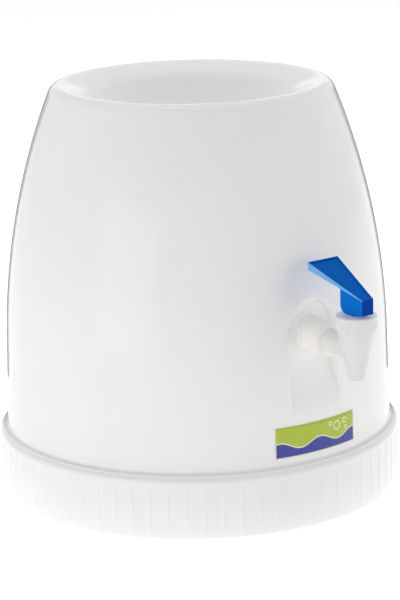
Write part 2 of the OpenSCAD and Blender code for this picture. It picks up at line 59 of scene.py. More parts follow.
# Floor: half its size in m, its glow on the object and in the view, and its reflectance
FLOOR_HALF = 6.0
FLOOR_GLOW = 0.275
FLOOR_GLOW_SEEN = 0.55
FLOOR_TONE = 0.85

# Room: radiance along the horizon and overhead, and the rise of a view that shows the latter
ROOM_HORIZON = 0.771
ROOM_ZENITH = 0.354
ROOM_ZENITH_FROM = 0.9

# Grey flag behind the object: distance in m, size in m, reflectance
FLAG = (0.24, (0.46, 0.285), 0.12)

# Soft boxes: name, azimuth, elevation, distance in m, size in m, watts, shows in the gloss
SOFT_BOXES = (
    ("left_card", -75, 5, 0.8, (0.5, 0.4), 0.5, True),
    ("left_box", -92, 16, 1.8, (1.1, 1.6), 3.8, False),
    ("front_box", 45, 22, 2.2, (1.5, 1.8), 5.9, False),
    ("right_box", 95, 20, 2.0, (1.2, 1.8), 2.2, False),
    ("back_card", 144, 12, 2.0, (1.0, 0.25), 0.3, True),
    ("top_box", 150, 68, 1.6, (1.0, 1.0), 9.3, False),
)

# Meshes: angle in degrees above which an edge is sharp, and columns of a small turned piece
SHARP_ANGLE = 35
TURN_COLUMNS = 96

# Dome: foot
SPIGOT_R = 132.9
SPIGOT_LOW_Z = 22.0
SPIGOT_FILLET_R = 0.3
SEAM_Z = 42.65
FLANGE_R = 137.6
FLANGE_T = 0.3
FLANGE_EDGE_R = 0.15
FOOT_Z = 44.4
FOOT_FILLET_R = 2.0
FOOT_TOP_Z = 47.0

# Dome: wall, straight with a draft and then curved
FOOT_R = 135.0
DRAFT_Z = 43.2
DRAFT = math.tan(math.radians(1.47))
STRAIGHT_Z = 107.0
CURVE_R = 490.0
CREST_Z = 281.6
SHELL_WALL = 3.0
FULL_WALL_Z = 50.0
THIN_WALL_SHARE = 0.25

# Dome: rolled rim, bowl, and the bore for the neck of the bottle
RIM_R = 8.5
RIM_IN_R = 27.0
BOWL_R = 87.0
NECK_R = 30.5
NECK_L = 45.0
MOUTH_R = 4.0

# Dome: columns, then rows of the wall (below, beside and above the niche) and of what follows it
DOME_COLUMNS = 288
WALL_ROWS = (4, 38, 32)
RIM_ROWS = 16
RIM_IN_ROWS = 20
BOWL_ROWS = 24
MOUTH_ROWS = 6
BORE_ROWS = 8

CURVE_C = (
    FOOT_R - (STRAIGHT_Z - DRAFT_Z) * DRAFT - CURVE_R * math.cos(math.atan(DRAFT)),
    STRAIGHT_Z - CURVE_R * math.sin(math.atan(DRAFT)),
)
RIM_Z = CREST_Z - RIM_R
RIM_ANGLE = math.asin((RIM_Z - CURVE_C[1]) / (CURVE_R - RIM_R))
RIM_C = (CURVE_C[0] + (CURVE_R - RIM_R) * math.cos(RIM_ANGLE), RIM_Z)
RIM_IN_C = (RIM_C[0], CREST_Z - RIM_IN_R)
BOWL_C = (0.0, RIM_IN_C[1] + math.sqrt((RIM_IN_R + BOWL_R) ** 2 - RIM_IN_C[0] ** 2))
MOUTH_C = (
    NECK_R + MOUTH_R,
    BOWL_C[1] - math.sqrt((BOWL_R + MOUTH_R) ** 2 - (NECK_R + MOUTH_R) ** 2),
)

# Niche for the tap: an arch over a ramp that runs out into the wall
TAP_Z = 129.0
NICHE_HALF_W = 20.75
NICHE_DEPTH = 11.0
ARCH_Z = TAP_Z + 2.6
RAMP_TOP_Z = 108.0
RAMP_LOW_Z = 80.0
RAMP_BLEND = 3.0
NICHE_EDGE_R = 1.8
NICHE_FLOOR_R = 2.0
NICHE_END_Z = 84.0

# Niche: the hole in the dome's grid that it fills, and its rows from the hole to its middle
NICHE_HOLE_COLUMNS = 12
NICHE_HOLE_Z = (58.0, 172.0)
NICHE_WALL_ROWS = 6
NICHE_EDGE_ROWS = 6
NICHE_FLOOR_ROWS = 8

# Base: skirt with grip ribs and a round shoulder
BASE_R = 141.0
RIB_H = 0.5
RIB_W = 3.0
RIB_COUNT = 72
RIB_COLUMNS = 16
RIB_Z = (1.5, 37.0)
RIB_FADE = 2.5
RIB_LEAD = 1.0
SKIRT_R = BASE_R - RIB_H
SKIRT_EDGE_R = 1.5
SKIRT_ROWS_Z = (6.0, 12.0, 18.0, 24.0, 30.0, 33.4, 34.6, 35.8, 37.0)
SHOULDER_C = (136.3, 38.2)
SHOULDER_R = 4.2
SHOULDER_ROWS = 16
SKIRT_IN_R = 137.0
SKIRT_IN_Z = 38.0
SKIRT_FOOT_IN_R = 137.3

# Base: under and upper side of its web, leaning wall and raised floor
WEB_Z = (8.0, 11.0)
LEAN_LOW_R = (123.7, 126.8)
LEAN_TOP_R = (109.8, 112.8)
TANK_FLOOR_Z = (105.0, 108.0)

# Tap: spout
SPOUT_REACH = 53.0
SPOUT_R = 12.4
SPOUT_BORE_R = 4.0
SEAT_Z = 124.0
OUTLET_Z = 108.8
OUTLET_R = 5.6
BEAD_R = OUTLET_R + 0.4
BEAD_L = 1.4
CONE_LOW = (OUTLET_R + 0.3, OUTLET_Z + 1.6)

# Tap: barrel, from inside the washer to inside the spout
BARREL_R = 8.0
BARREL_START = 3.0
BARREL_SHORT_OF_SPOUT = 6.0

# Tap: bonnet, with the heights of its rows above its foot, and the fine ribs on it
BONNET_Z = 141.0
BONNET_TOP_Z = 151.5
BONNET_R = 13.85
BONNET_FOOT_R = SPOUT_R + 0.1
BONNET_IN_R = SPOUT_R - 1
BONNET_FLAT_R = 9.0
BONNET_EDGE_R = 0.9
BONNET_ROWS = (0.5, 1.2, 2.4, 3.6, 4.8, 5.6, 6.2)
BONNET_COLUMNS = 480
TICK_Z = (BONNET_Z + 0.6, BONNET_Z + 6)
TICK_COUNT = 40
TICK_H = 0.4
TICK_HALF = 0.25

# Tap: washer and lock nut
WASHER_R = 13.0
WASHER_T = 6.5
LOCK_FLANGE_R = 12.4
LOCK_FLANGE_T = 3.0
LOCK_NUT_R = 11.2
LOCK_NUT_L = 20.0
SHANK_R = 8.1

# Lever
LEVER_EDGE_R = 0.5

# Label, with its bubbles as (x, y, radius), and its wave as (turn per mm, start, height, middle)
LABEL_SIZE = (67.0, 21.0)
LABEL_LOW_Z = 49.5
LABEL_LIFT = 0.3
LABEL_T = 0.2
LABEL_COLUMNS = 48
LABEL_ROWS = 10
LABEL_BUBBLES = ((50, 14.2, 2.9), (57.5, 16.2, 1.7), (43.8, 16.6, 1.3), (58.6, 11.4, 1.0))
LABEL_WAVE = (0.2, 0.9, 2.4, 7.4)
WAVE_EDGE_W = 0.9
BUBBLE_LINE_HALF = 0.35
LABEL_EDGE_W = 0.5

# Distance in m at which a surface counts as lying in a hollow, where the plastics paint a glow
HOLLOW_REACH = 0.03


def wall_radius(z):
    """Radius of the outside of the dome at a height."""
    if z < STRAIGHT_Z:
        return FOOT_R - (z - DRAFT_Z) * DRAFT
    return CURVE_C[0] + math.sqrt(CURVE_R**2 - (z - CURVE_C[1]) ** 2)


NICHE_FLOOR = wall_radius(TAP_Z) - NICHE_DEPTH
SPOUT_C = NICHE_FLOOR + SPOUT_REACH


# Shape helpers


def arc(centre, radius, start, end, steps):
    """Points of a circle in the half section, the angles in degrees up from the r axis."""
    points = []
    for i in range(steps + 1):
        a = math.radians(start + (end - start) * i / steps)
        points.append((centre[0] + radius * math.cos(a), centre[1] + radius * math.sin(a)))
    return points


def rounded(corners, steps=5):
    """A line through (r, z, rounding) corners, with each corner rounded."""
    points = []
    last = len(corners) - 1
    for i, (r, z, rounding) in enumerate(corners):
        here = Vector((r, z))
        if rounding == 0 or i in (0, last):
            points.append((r, z))
            continue
        back = (Vector(corners[i - 1][:2]) - here).normalized()
        on = (Vector(corners[i + 1][:2]) - here).normalized()
        half = back.angle(on) / 2
        reach = rounding / math.tan(half)
        centre = here + (back + on).normalized() * (rounding / math.sin(half))
        first, second = here + back * reach - centre, here + on * reach - centre
        for j in range(steps + 1):
            points.append(tuple(centre + first.slerp(second, j / steps) * rounding))
    return points


def revolve(section, columns, push=None):
    """Vertices and quads of a half section turned about Z, from -Y round.

    push(r, z, angle) says how far a point moves out.
    """
    vertices, faces = [], []
    rows = len(section)
    for j in range(columns):
        a = 2 * math.pi * j / columns
        for r, z in section:
            out = r + (push(r, z, a) if push else 0)
            vertices.append((out * math.sin(a), -out * math.cos(a), z))
        for i in range(rows - 1):
            right = (j + 1) % columns * rows
            faces.append((j * rows + i, right + i, right + i + 1, j * rows + i + 1))
    return vertices, faces


def along_tap(shape, reach):
    """Lays a turned shape along the barrel, starting that far from the dome's axis."""
    vertices, faces = shape
    return [(x, -reach - z, TAP_Z + y) for x, y, z in vertices], faces


def at_spout(shape):
    """Moves a turned shape onto the upright axis of the spout."""
    vertices, faces = shape
    return [(x, y - SPOUT_C, z) for x, y, z in vertices], faces


def joined(*shapes):
    """One shape out of several."""
    vertices, faces = [], []
    for more_vertices, more_faces in shapes:
        start = len(vertices)
        vertices.extend(more_vertices)
        faces.extend(tuple(start + i for i in face) for face in more_faces)
    return vertices, faces


def new_piece(name, shape, body, material, nodes, merge=0.001):
    """A smooth mesh from (vertices, faces) in millimetres that stands for CAD nodes."""
    vertices, faces = shape
    mesh = bpy.data.meshes.new(name)
    bm = bmesh.new()
    made = [bm.verts.new(Vector(v) * MM) for v in vertices]
    for face in faces:
        bm.faces.new([made[i] for i in face])
    bmesh.ops.delete(bm, geom=[v for v in bm.verts if not v.link_faces], context="VERTS")
    bmesh.ops.remove_doubles(bm, verts=bm.verts, dist=merge * MM)
    bmesh.ops.recalc_face_normals(bm, faces=bm.faces)
    bm.to_mesh(mesh)
    bm.free()
    for polygon in mesh.polygons:
        polygon.use_smooth = True
    mesh.set_sharp_from_angle(angle=math.radians(SHARP_ANGLE))
    obj = bpy.data.objects.new(name, mesh)
    bpy.context.scene.collection.objects.link(obj)
    mesh.materials.append(material)
    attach(obj, body)
    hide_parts(*nodes)
    return obj


def thicken(obj, thickness, thin_below=None):
    """Gives a skin its wall, on the inside and thinner below a height."""
    solid = obj.modifiers.new("wall", "SOLIDIFY")
    solid.thickness = thickness * MM
    solid.offset = -1
    if thin_below is not None:
        group = obj.vertex_groups.new(name="wall")
        for vertex in obj.data.vertices:
            share = THIN_WALL_SHARE if vertex.co.z < thin_below * MM else 1.0
            group.add([vertex.index], share, "REPLACE")
        solid.vertex_group = group.name


def direction(azimuth, elevation):
    """Unit vector away from the object. Azimuth 0 is in front of the tap."""
    a, e = math.radians(azimuth), math.radians(elevation)
    return Vector((math.sin(a) * math.cos(e), -math.cos(a) * math.cos(e), math.sin(e)))


# Materials


def srgb(red, green, blue):
    """Linear colour from 0 to 255 display values."""
    def linear(value):
        """One channel, undone from its display curve."""
        share = value / 255
        return share / 12.92 if share <= 0.04045 else ((share + 0.055) / 1.055) ** 2.4

    return (linear(red), linear(green), linear(blue), 1.0)


def new_material(name):
    """A material, its node tree and its shader."""
    material = bpy.data.materials.new(name)
    material.use_nodes = True
    return material, material.node_tree, material.node_tree.nodes["Principled BSDF"]


def calc(tree, operation, *values):
    """A sum worked out in the material, from numbers and sockets."""
    node = tree.nodes.new("ShaderNodeMath")
    node.operation = operation
    for socket, value in zip(node.inputs, values):
        if isinstance(value, (int, float)):
            socket.default_value = value
        else:
            tree.links.new(value, socket)
    return node.outputs["Value"]


def over(tree, below, colour, share):
    """A colour laid over another where the share is 1."""
    mix = tree.nodes.new("ShaderNodeMix")
    mix.data_type = "RGBA"
    tree.links.new(share, mix.inputs["Factor"])
    tree.links.new(below, mix.inputs["A"])
    mix.inputs["B"].default_value = colour
    return mix.outputs["Result"]


def plastic(name, colour, deep, roughness, grain, bump, translucency=0.0, painted_glow=0.0):
    """Moulded plastic: two close tones that drift across it, uneven gloss and a fine surface grain.

    The last argument paints a glow: emission in the surface's own tone, strongest where the surface
    lies in a hollow, that lifts the shade there as painted light.
    """
    material, tree, shader = new_material(name)
    nodes, links = tree.nodes, tree.links
    shader.inputs["Specular IOR Level"].default_value = 0.5
    shader.inputs["Subsurface Weight"].default_value = translucency
    shader.inputs["Subsurface Radius"].default_value = (0.006, 0.006, 0.006)
    shader.inputs["Subsurface Scale"].default_value = 1.0

    place = nodes.new("ShaderNodeTexCoord")
    drift = nodes.new("ShaderNodeTexNoise")
    drift.inputs["Scale"].default_value = 9.0
    drift.inputs["Detail"].default_value = 3.0
    links.new(place.outputs["Object"], drift.inputs["Vector"])
    tone = nodes.new("ShaderNodeValToRGB")
    tone.color_ramp.elements[0].position = 0.35
    tone.color_ramp.elements[0].color = deep
    tone.color_ramp.elements[1].position = 0.65
    tone.color_ramp.elements[1].color = colour
    links.new(drift.outputs["Fac"], tone.inputs["Fac"])
    links.new(tone.outputs["Color"], shader.inputs["Base Color"])

    fine = nodes.new("ShaderNodeTexNoise")
    fine.inputs["Scale"].default_value = grain
    fine.inputs["Detail"].default_value = 4.0
    links.new(place.outputs["Object"], fine.inputs["Vector"])
    gloss = nodes.new("ShaderNodeMapRange")
    gloss.inputs["To Min"].default_value = roughness * 0.85
    gloss.inputs["To Max"].default_value = roughness * 1.2
    links.new(fine.outputs["Fac"], gloss.inputs["Value"])
    links.new(gloss.outputs["Result"], shader.inputs["Roughness"])
    relief = nodes.new("ShaderNodeBump")
    relief.inputs["Strength"].default_value = bump
    relief.inputs["Distance"].default_value = 0.0004
    links.new(fine.outputs["Fac"], relief.inputs["Height"])
    links.new(relief.outputs["Normal"], shader.inputs["Normal"])

    # Painted glow: emission in the surface's own tone that rises as the surface lies deeper in a
    # hollow, lightening the shade there.
    if painted_glow:
        hollow = nodes.new("ShaderNodeAmbientOcclusion")
        hollow.samples = 8
        hollow.inputs["Distance"].default_value = HOLLOW_REACH
        through = nodes.new("ShaderNodeMapRange")
        through.inputs["To Min"].default_value = painted_glow
        through.inputs["To Max"].default_value = 0.0
        links.new(hollow.outputs["AO"], through.inputs["Value"])
        links.new(tone.outputs["Color"], shader.inputs["Emission Color"])
        links.new(through.outputs["Result"], shader.inputs["Emission Strength"])
    return material


def steel(name):
    """Drawn wire: bright metal with fine streaks."""
    material, tree, shader = new_material(name)
    nodes, links = tree.nodes, tree.links
    shader.inputs["Metallic"].default_value = 1.0
    place = nodes.new("ShaderNodeTexCoord")
    streak = nodes.new("ShaderNodeTexNoise")
    streak.inputs["Scale"].default_value = 900.0
    links.new(place.outputs["Object"], streak.inputs["Vector"])
    tone = nodes.new("ShaderNodeValToRGB")
    tone.color_ramp.elements[0].color = (0.42, 0.42, 0.43, 1)
    tone.color_ramp.elements[1].color = (0.68, 0.68, 0.69, 1)
    links.new(streak.outputs["Fac"], tone.inputs["Fac"])
    links.new(tone.outputs["Color"], shader.inputs["Base Color"])
    gloss = nodes.new("ShaderNodeMapRange")
    gloss.inputs["To Min"].default_value = 0.2
    gloss.inputs["To Max"].default_value = 0.4
    links.new(streak.outputs["Fac"], gloss.inputs["Value"])
    links.new(gloss.outputs["Result"], shader.inputs["Roughness"])
    return material


def lever_blue_painted_light(name):
    """Blue plastic, with painted shade on the lever's top and ends and a painted highlight on its
    paddle's thin sides.
    """
    material = plastic(
        name, srgb(0, 114, 212), srgb(0, 108, 206), roughness=0.2, grain=350, bump=0.03
    )
    tree = material.node_tree
    shader = tree.nodes["Principled BSDF"]
    shader.inputs["Specular IOR Level"].default_value = 0.03
    place = tree.nodes.new("ShaderNodeTexCoord")
    facing = tree.nodes.new("ShaderNodeSeparateXYZ")
    tree.links.new(place.outputs["Normal"], facing.inputs["Vector"])

    def between(value, none, full):
        """Share from 0 to 1 as the value goes from none to full."""
        node = tree.nodes.new("ShaderNodeMapRange")
        node.inputs["From Min"].default_value = none
        node.inputs["From Max"].default_value = full
        tree.links.new(value, node.inputs["Value"])
        return node.outputs["Result"]

    sideways = between(calc(tree, "ABSOLUTE", facing.outputs["X"]), 0.55, 0.75)
    outwards = between(facing.outputs["Y"], -0.06, -0.12)
    colour = shader.inputs["Base Color"].links[0].from_socket
    # Painted light, laid over the blue by the way each face points: a painted highlight on the
    # paddle's thin sides, painted shade on both ends and on the top.
    for painted_light_tone, share in (
        (srgb(120, 182, 236), calc(tree, "MULTIPLY", sideways, outwards)),
        (srgb(0, 66, 160), between(facing.outputs["Y"], -0.85, -0.95)),
        (srgb(0, 96, 190), between(facing.outputs["Z"], 0.8, 0.9)),
        (srgb(0, 90, 190), between(facing.outputs["Y"], 0.85, 0.95)),
    ):
        colour = over(tree, colour, painted_light_tone, share)
    tree.links.new(colour, shader.inputs["Base Color"])
    return material


def label_film(name):
    """Printed film: a lime field, a blue wave along its foot, pale bubbles and a pale edge."""
    material, tree, shader = new_material(name)
    nodes, links = tree.nodes, tree.links
    shader.inputs["Roughness"].default_value = 0.3

    def soft_step(value, edge, width=0.25):
        """Share from 0 to 1 as the value passes the edge."""
        rise = calc(tree, "MULTIPLY_ADD", value, 1 / width, 0.5 - edge / width)
        return calc(tree, "SMOOTH_MIN", calc(tree, "MAXIMUM", rise, 0), 1, 0.1)

    def below(value, limit):
        """Share that is 1 where the value lies under the limit."""
        return soft_step(calc(tree, "MULTIPLY", value, -1), -limit)

    place = nodes.new("ShaderNodeUVMap")
    place.uv_map = "print"
    split = nodes.new("ShaderNodeSeparateXYZ")
    links.new(place.outputs["UV"], split.inputs["Vector"])
    width, height = LABEL_SIZE
    x = calc(tree, "MULTIPLY", split.outputs["X"], width)
    y = calc(tree, "MULTIPLY", split.outputs["Y"], height)

    drift = nodes.new("ShaderNodeTexNoise")
    drift.inputs["Scale"].default_value = 6.0
    links.new(place.outputs["UV"], drift.inputs["Vector"])
    field = nodes.new("ShaderNodeValToRGB")
    field.color_ramp.elements[0].color = srgb(172, 190, 48)
    field.color_ramp.elements[1].color = srgb(186, 204, 66)
    links.new(drift.outputs["Fac"], field.inputs["Fac"])

    turn, start, wave_height, middle = LABEL_WAVE
    swing = calc(tree, "SINE", calc(tree, "MULTIPLY_ADD", x, turn, start))
    crest = calc(tree, "MULTIPLY_ADD", swing, wave_height, middle)
    depth = calc(tree, "SUBTRACT", crest, y)
    colour = field.outputs["Color"]
    colour = over(tree, colour, srgb(226, 232, 190), soft_step(depth, -WAVE_EDGE_W))
    colour = over(tree, colour, srgb(52, 62, 160), soft_step(depth, 0.0))
    for bubble_x, bubble_y, radius in LABEL_BUBBLES:
        dx, dy = calc(tree, "SUBTRACT", x, bubble_x), calc(tree, "SUBTRACT", y, bubble_y)
        square = calc(tree, "ADD", calc(tree, "MULTIPLY", dx, dx), calc(tree, "MULTIPLY", dy, dy))
        ring = calc(tree, "ABSOLUTE", calc(tree, "SUBTRACT", calc(tree, "SQRT", square), radius))
        colour = over(tree, colour, srgb(240, 243, 222), below(ring, BUBBLE_LINE_HALF))
    edge = calc(tree, "MINIMUM", x, y)
    for length, along in ((width, x), (height, y)):
        edge = calc(tree, "MINIMUM", edge, calc(tree, "SUBTRACT", length, along))
    colour = over(tree, colour, srgb(214, 222, 150), below(edge, LABEL_EDGE_W))
    links.new(colour, shader.inputs["Base Color"])
    return material


# The plastics below paint a glow into their hollows, of the strength given last.
DOME_WHITE = plastic(
    "dome_white", srgb(247, 247, 246), srgb(245, 245, 244),
    roughness=0.12, grain=160, bump=0.02, translucency=0.15, painted_glow=0.11,
)
BASE_WHITE = plastic(
    "base_white", srgb(248, 248, 247), srgb(246, 246, 245),
    roughness=0.2, grain=220, bump=0.02, translucency=0.15, painted_glow=0.22,
)
TAP_WHITE = plastic(
    "tap_white", srgb(232, 232, 230), srgb(228, 228, 226),
    roughness=0.3, grain=400, bump=0.05, translucency=0.15, painted_glow=0.15,
)
IVORY = plastic(
    "ivory", srgb(247, 244, 239), srgb(244, 240, 234),
    roughness=0.35, grain=500, bump=0.06, translucency=0.15, painted_glow=0.14,
)
SILICONE = plastic(
    "silicone", srgb(243, 243, 241), srgb(238, 238, 236),
    roughness=0.5, grain=300, bump=0.08, translucency=0.2, painted_glow=0.14,
)
# The lever's blue carries painted shade on its top and ends and a painted highlight on its paddle's
# sides.
BLUE = lever_blue_painted_light("lever_blue_painted_light")
STEEL = steel("spring_steel")
FILM = label_film("label_film")


# Dome


def dome_section():
    """Half section of the outside: spigot, flange, wall, rolled rim, bowl and bore."""
    foot = rounded(
        [
            (SPIGOT_R, SPIGOT_LOW_Z, 0),
            (SPIGOT_R, SEAM_Z, SPIGOT_FILLET_R),
            (FLANGE_R, SEAM_Z, FLANGE_EDGE_R),
            (FLANGE_R, SEAM_Z + FLANGE_T, FLANGE_EDGE_R),
            (wall_radius(FOOT_Z), FOOT_Z, FOOT_FILLET_R),
            (wall_radius(FOOT_TOP_Z), FOOT_TOP_Z, 0),
        ]
    )
    heights = (FOOT_TOP_Z, *NICHE_HOLE_Z, RIM_C[1] + RIM_R * math.sin(RIM_ANGLE))
    wall = []
    for z_from, z_to, steps in zip(heights, heights[1:], WALL_ROWS):
        for i in range(steps):
            z = z_from + (z_to - z_from) * (i + 1) / steps
            wall.append((wall_radius(z), z))
    bowl_angle = math.degrees(math.atan2(BOWL_C[1] - RIM_IN_C[1], RIM_IN_C[0]))
    mouth_angle = math.degrees(math.atan2(BOWL_C[1] - MOUTH_C[1], MOUTH_C[0]))
    rim = arc(RIM_C, RIM_R, math.degrees(RIM_ANGLE), 90, RIM_ROWS)
    rim += arc(RIM_IN_C, RIM_IN_R, 90, 180 - bowl_angle, RIM_IN_ROWS)[1:]
    bowl = arc(BOWL_C, BOWL_R, -bowl_angle, -mouth_angle, BOWL_ROWS)
    mouth = arc(MOUTH_C, MOUTH_R, 180 - mouth_angle, 180, MOUTH_ROWS)
    bore = [(NECK_R, MOUTH_C[1] - NECK_L * (i + 1) / BORE_ROWS) for i in range(BORE_ROWS)]
    return foot + wall + rim[1:] + bowl[1:] + mouth[1:] + bore


def niche_floor(x, z):
    """Distance of the niche's floor from the dome's axis plane, never outside the wall."""
    wall = math.sqrt(wall_radius(z) ** 2 - x * x)
    slope = (wall_radius(RAMP_LOW_Z) - NICHE_FLOOR) / (RAMP_TOP_Z - RAMP_LOW_Z)
    ramp = slope * RAMP_BLEND * math.log1p(math.exp((RAMP_TOP_Z - z) / RAMP_BLEND))
    floor = NICHE_FLOOR + ramp
    if wall - floor <= -RAMP_BLEND:
        return wall
    near = max(RAMP_BLEND - abs(wall - floor), 0) / RAMP_BLEND
    return min(wall, floor) - near * near * RAMP_BLEND / 4


def niche_stations(depth):
    """(offset out of the outline, share of the way from wall to floor) across the rounded edge."""
    span = max(depth, NICHE_EDGE_R + NICHE_FLOOR_R)
    turns = [math.pi / 2 * i / NICHE_EDGE_ROWS for i in range(NICHE_EDGE_ROWS + 1)]
    stations = []
    for a in turns:
        share = NICHE_EDGE_R * (1 - math.cos(a)) / span
        stations.append((NICHE_EDGE_R * (1 - math.sin(a)), share))
    for a in turns:
        share = 1 - NICHE_FLOOR_R * (1 - math.sin(a)) / span
        stations.append((-NICHE_FLOOR_R * (1 - math.cos(a)), share))
    return stations


def niche_point(place, share):
    """Point of the niche at an (x, z) place, that share of the way from wall to floor."""
    x, z = place
    wall = math.sqrt(wall_radius(z) ** 2 - x * x)
    return (x, -(wall + share * (niche_floor(x, z) - wall)), z)


def niche_line(x, z):
    """Points from beside a corner of the hole in the dome's grid to the middle of the niche."""
    middle = Vector((0, min(max(z, NICHE_END_Z), ARCH_Z)))
    edge = Vector((x, z))
    out = (edge - middle).normalized()
    outline = middle + out * NICHE_HALF_W
    depth = math.sqrt(wall_radius(outline.y) ** 2 - outline.x**2) - niche_floor(*outline)
    stations = niche_stations(depth)
    start, end = outline + out * stations[0][0], outline + out * stations[-1][0]
    line = []
    for i in range(1, NICHE_WALL_ROWS):
        line.append(niche_point(edge.lerp(start, i / NICHE_WALL_ROWS), 0))
    for offset, share in stations:
        line.append(niche_point(outline + out * offset, share))
    for i in range(1, NICHE_FLOOR_ROWS + 1):
        line.append(niche_point(end.lerp(middle, i / NICHE_FLOOR_ROWS), 1))
    return line


def dome_shape():
    """The outside of the dome, with the niche let into a hole of the turned grid."""
    section = dome_section()
    vertices, faces = revolve(section, DOME_COLUMNS)
    rows = len(section)
    low_row, high_row = (section.index((wall_radius(z), z)) for z in NICHE_HOLE_Z)
    half = NICHE_HOLE_COLUMNS
    inside = set()
    for j in range(-half, half):
        for i in range(low_row, high_row):
            inside.add((j % DOME_COLUMNS) * (rows - 1) + i)
    faces = [face for k, face in enumerate(faces) if k not in inside]

    border = [(half, i) for i in range(low_row, high_row)]
    border += [(j, high_row) for j in range(half, -half, -1)]
    border += [(-half, i) for i in range(high_row, low_row, -1)]
    border += [(j, low_row) for j in range(-half, half)]
    ring = [(j % DOME_COLUMNS) * rows + i for j, i in border]
    lines = [niche_line(vertices[k][0], vertices[k][2]) for k in ring]
    first = len(vertices)
    length = len(lines[0])
    for line in lines:
        vertices.extend(line)

    def at(k, s):
        """Index of point s of line k, where -1 is the border of the hole."""
        k %= len(ring)
        return ring[k] if s < 0 else first + k * length + s

    for k in range(len(ring)):
        for s in range(-1, length - 1):
            faces.append((at(k, s), at(k + 1, s), at(k + 1, s + 1), at(k, s + 1)))
    return vertices, faces


# Base


def base_section():
    """Half section of the ribbed base with its web, leaning wall and raised floor."""
    under = rounded(
        [
            (0, TANK_FLOOR_Z[0], 0),
            (LEAN_TOP_R[0], TANK_FLOOR_Z[0], 2),
            (LEAN_LOW_R[0], WEB_Z[0], 1),
            (SKIRT_FOOT_IN_R, WEB_Z[0], 1),
            (SKIRT_FOOT_IN_R, 0, 0.4),
            (SKIRT_R, 0, SKIRT_EDGE_R),
            (SKIRT_R, SKIRT_ROWS_Z[0], 0),
        ]
    )
    skirt = [(SKIRT_R, z) for z in SKIRT_ROWS_Z[1:]]
    shoulder_end = math.degrees(math.acos((SKIRT_IN_R - SHOULDER_C[0]) / SHOULDER_R))
    shoulder = arc(SHOULDER_C, SHOULDER_R, 0, shoulder_end, SHOULDER_ROWS)
    inside = rounded(
        [
            (SKIRT_IN_R, SKIRT_IN_Z, 0),
            (SKIRT_IN_R, WEB_Z[1], 0.5),
            (LEAN_LOW_R[1], WEB_Z[1], 0.5),
            (LEAN_TOP_R[1], TANK_FLOOR_Z[1], 2),
            (0, TANK_FLOOR_Z[1], 0),
        ]
    )
    return under + skirt + shoulder + inside


def grip_rib(r, z, angle):
    """How far the ribs stand out at a point of the skirt."""
    low, high = RIB_Z[0] - RIB_LEAD, RIB_Z[1]
    if r < BASE_R - 2 * RIB_H or not low <= z <= high:
        return 0
    pitch = 2 * math.pi / RIB_COUNT
    across = ((angle / pitch + 0.5) % 1 - 0.5) * pitch * BASE_R
    if abs(across) > RIB_W / 2:
        return 0
    fade = min((high - z) / RIB_FADE, (z - low) / RIB_FADE, 1)
    return RIB_H * fade * math.cos(math.pi * across / RIB_W) ** 2


# Tap


def spout_shape():
    """Tapered spout with its bead and bore, and the barrel that carries it."""
    spout = rounded(
        [
            (0, SEAT_Z, 0),
            (SPOUT_BORE_R, SEAT_Z, 0),
            (SPOUT_BORE_R, OUTLET_Z, 0.4),
            (BEAD_R, OUTLET_Z, 0.4),
            (BEAD_R, OUTLET_Z + BEAD_L, 0.3),
            (*CONE_LOW, 0),
            (SPOUT_R, BONNET_Z, 0),
            (0, BONNET_Z, 0),
        ]
    )
    start = NICHE_FLOOR + BARREL_START
    length = SPOUT_C - start - BARREL_SHORT_OF_SPOUT
    barrel = [(0, 0), (BARREL_R, 0), (BARREL_R, length), (0, length)]
    return joined(
        at_spout(revolve(spout, TURN_COLUMNS)), along_tap(revolve(barrel, TURN_COLUMNS), start)
    )


def tick(r, z, angle):
    """Fine grip ribs on the lower half of the bonnet."""
    if r < SPOUT_R or not TICK_Z[0] <= z <= TICK_Z[1]:
        return 0
    share = (angle * TICK_COUNT / (2 * math.pi) + 0.5) % 1 - 0.5
    return TICK_H * math.cos(math.pi * share / (2 * TICK_HALF)) if abs(share) < TICK_HALF else 0


def bonnet_shape():
    """Ribbed cap with a soft upper edge."""
    lean = (BONNET_R - BONNET_FOOT_R) / (BONNET_TOP_Z - BONNET_Z)
    corners = [(BONNET_IN_R, BONNET_Z, 0), (BONNET_FOOT_R, BONNET_Z, 0.2)]
    corners += [(BONNET_FOOT_R + lean * rise, BONNET_Z + rise, 0) for rise in BONNET_ROWS]
    corners += [
        (BONNET_R, BONNET_TOP_Z, BONNET_EDGE_R),
        (BONNET_FLAT_R, BONNET_TOP_Z, 0),
        (0, BONNET_TOP_Z, 0),
    ]
    return at_spout(revolve(rounded(corners), BONNET_COLUMNS, tick))


def lock_nut_shape():
    """Sleeve with a flange that holds the washer to the niche."""
    section = rounded(
        [
            (SHANK_R, 0, 0),
            (LOCK_FLANGE_R, 0, 0.5),
            (LOCK_FLANGE_R, LOCK_FLANGE_T, 0.7),
            (LOCK_NUT_R, LOCK_FLANGE_T, 0.4),
            (LOCK_NUT_R, LOCK_NUT_L, 1.0),
            (SHANK_R, LOCK_NUT_L, 0.3),
            (SHANK_R, 0, 0),
        ]
    )
    return along_tap(revolve(section, TURN_COLUMNS), NICHE_FLOOR + WASHER_T)


def washer_shape():
    """Soft ring between the lock nut and the floor of the niche."""
    section = rounded(
        [
            (SHANK_R, 0, 0),
            (WASHER_R, 0, 0.9),
            (WASHER_R, WASHER_T, 1.6),
            (SHANK_R, WASHER_T, 0.3),
            (SHANK_R, 0, 0),
        ]
    )
    return along_tap(revolve(section, TURN_COLUMNS), NICHE_FLOOR)


# Label


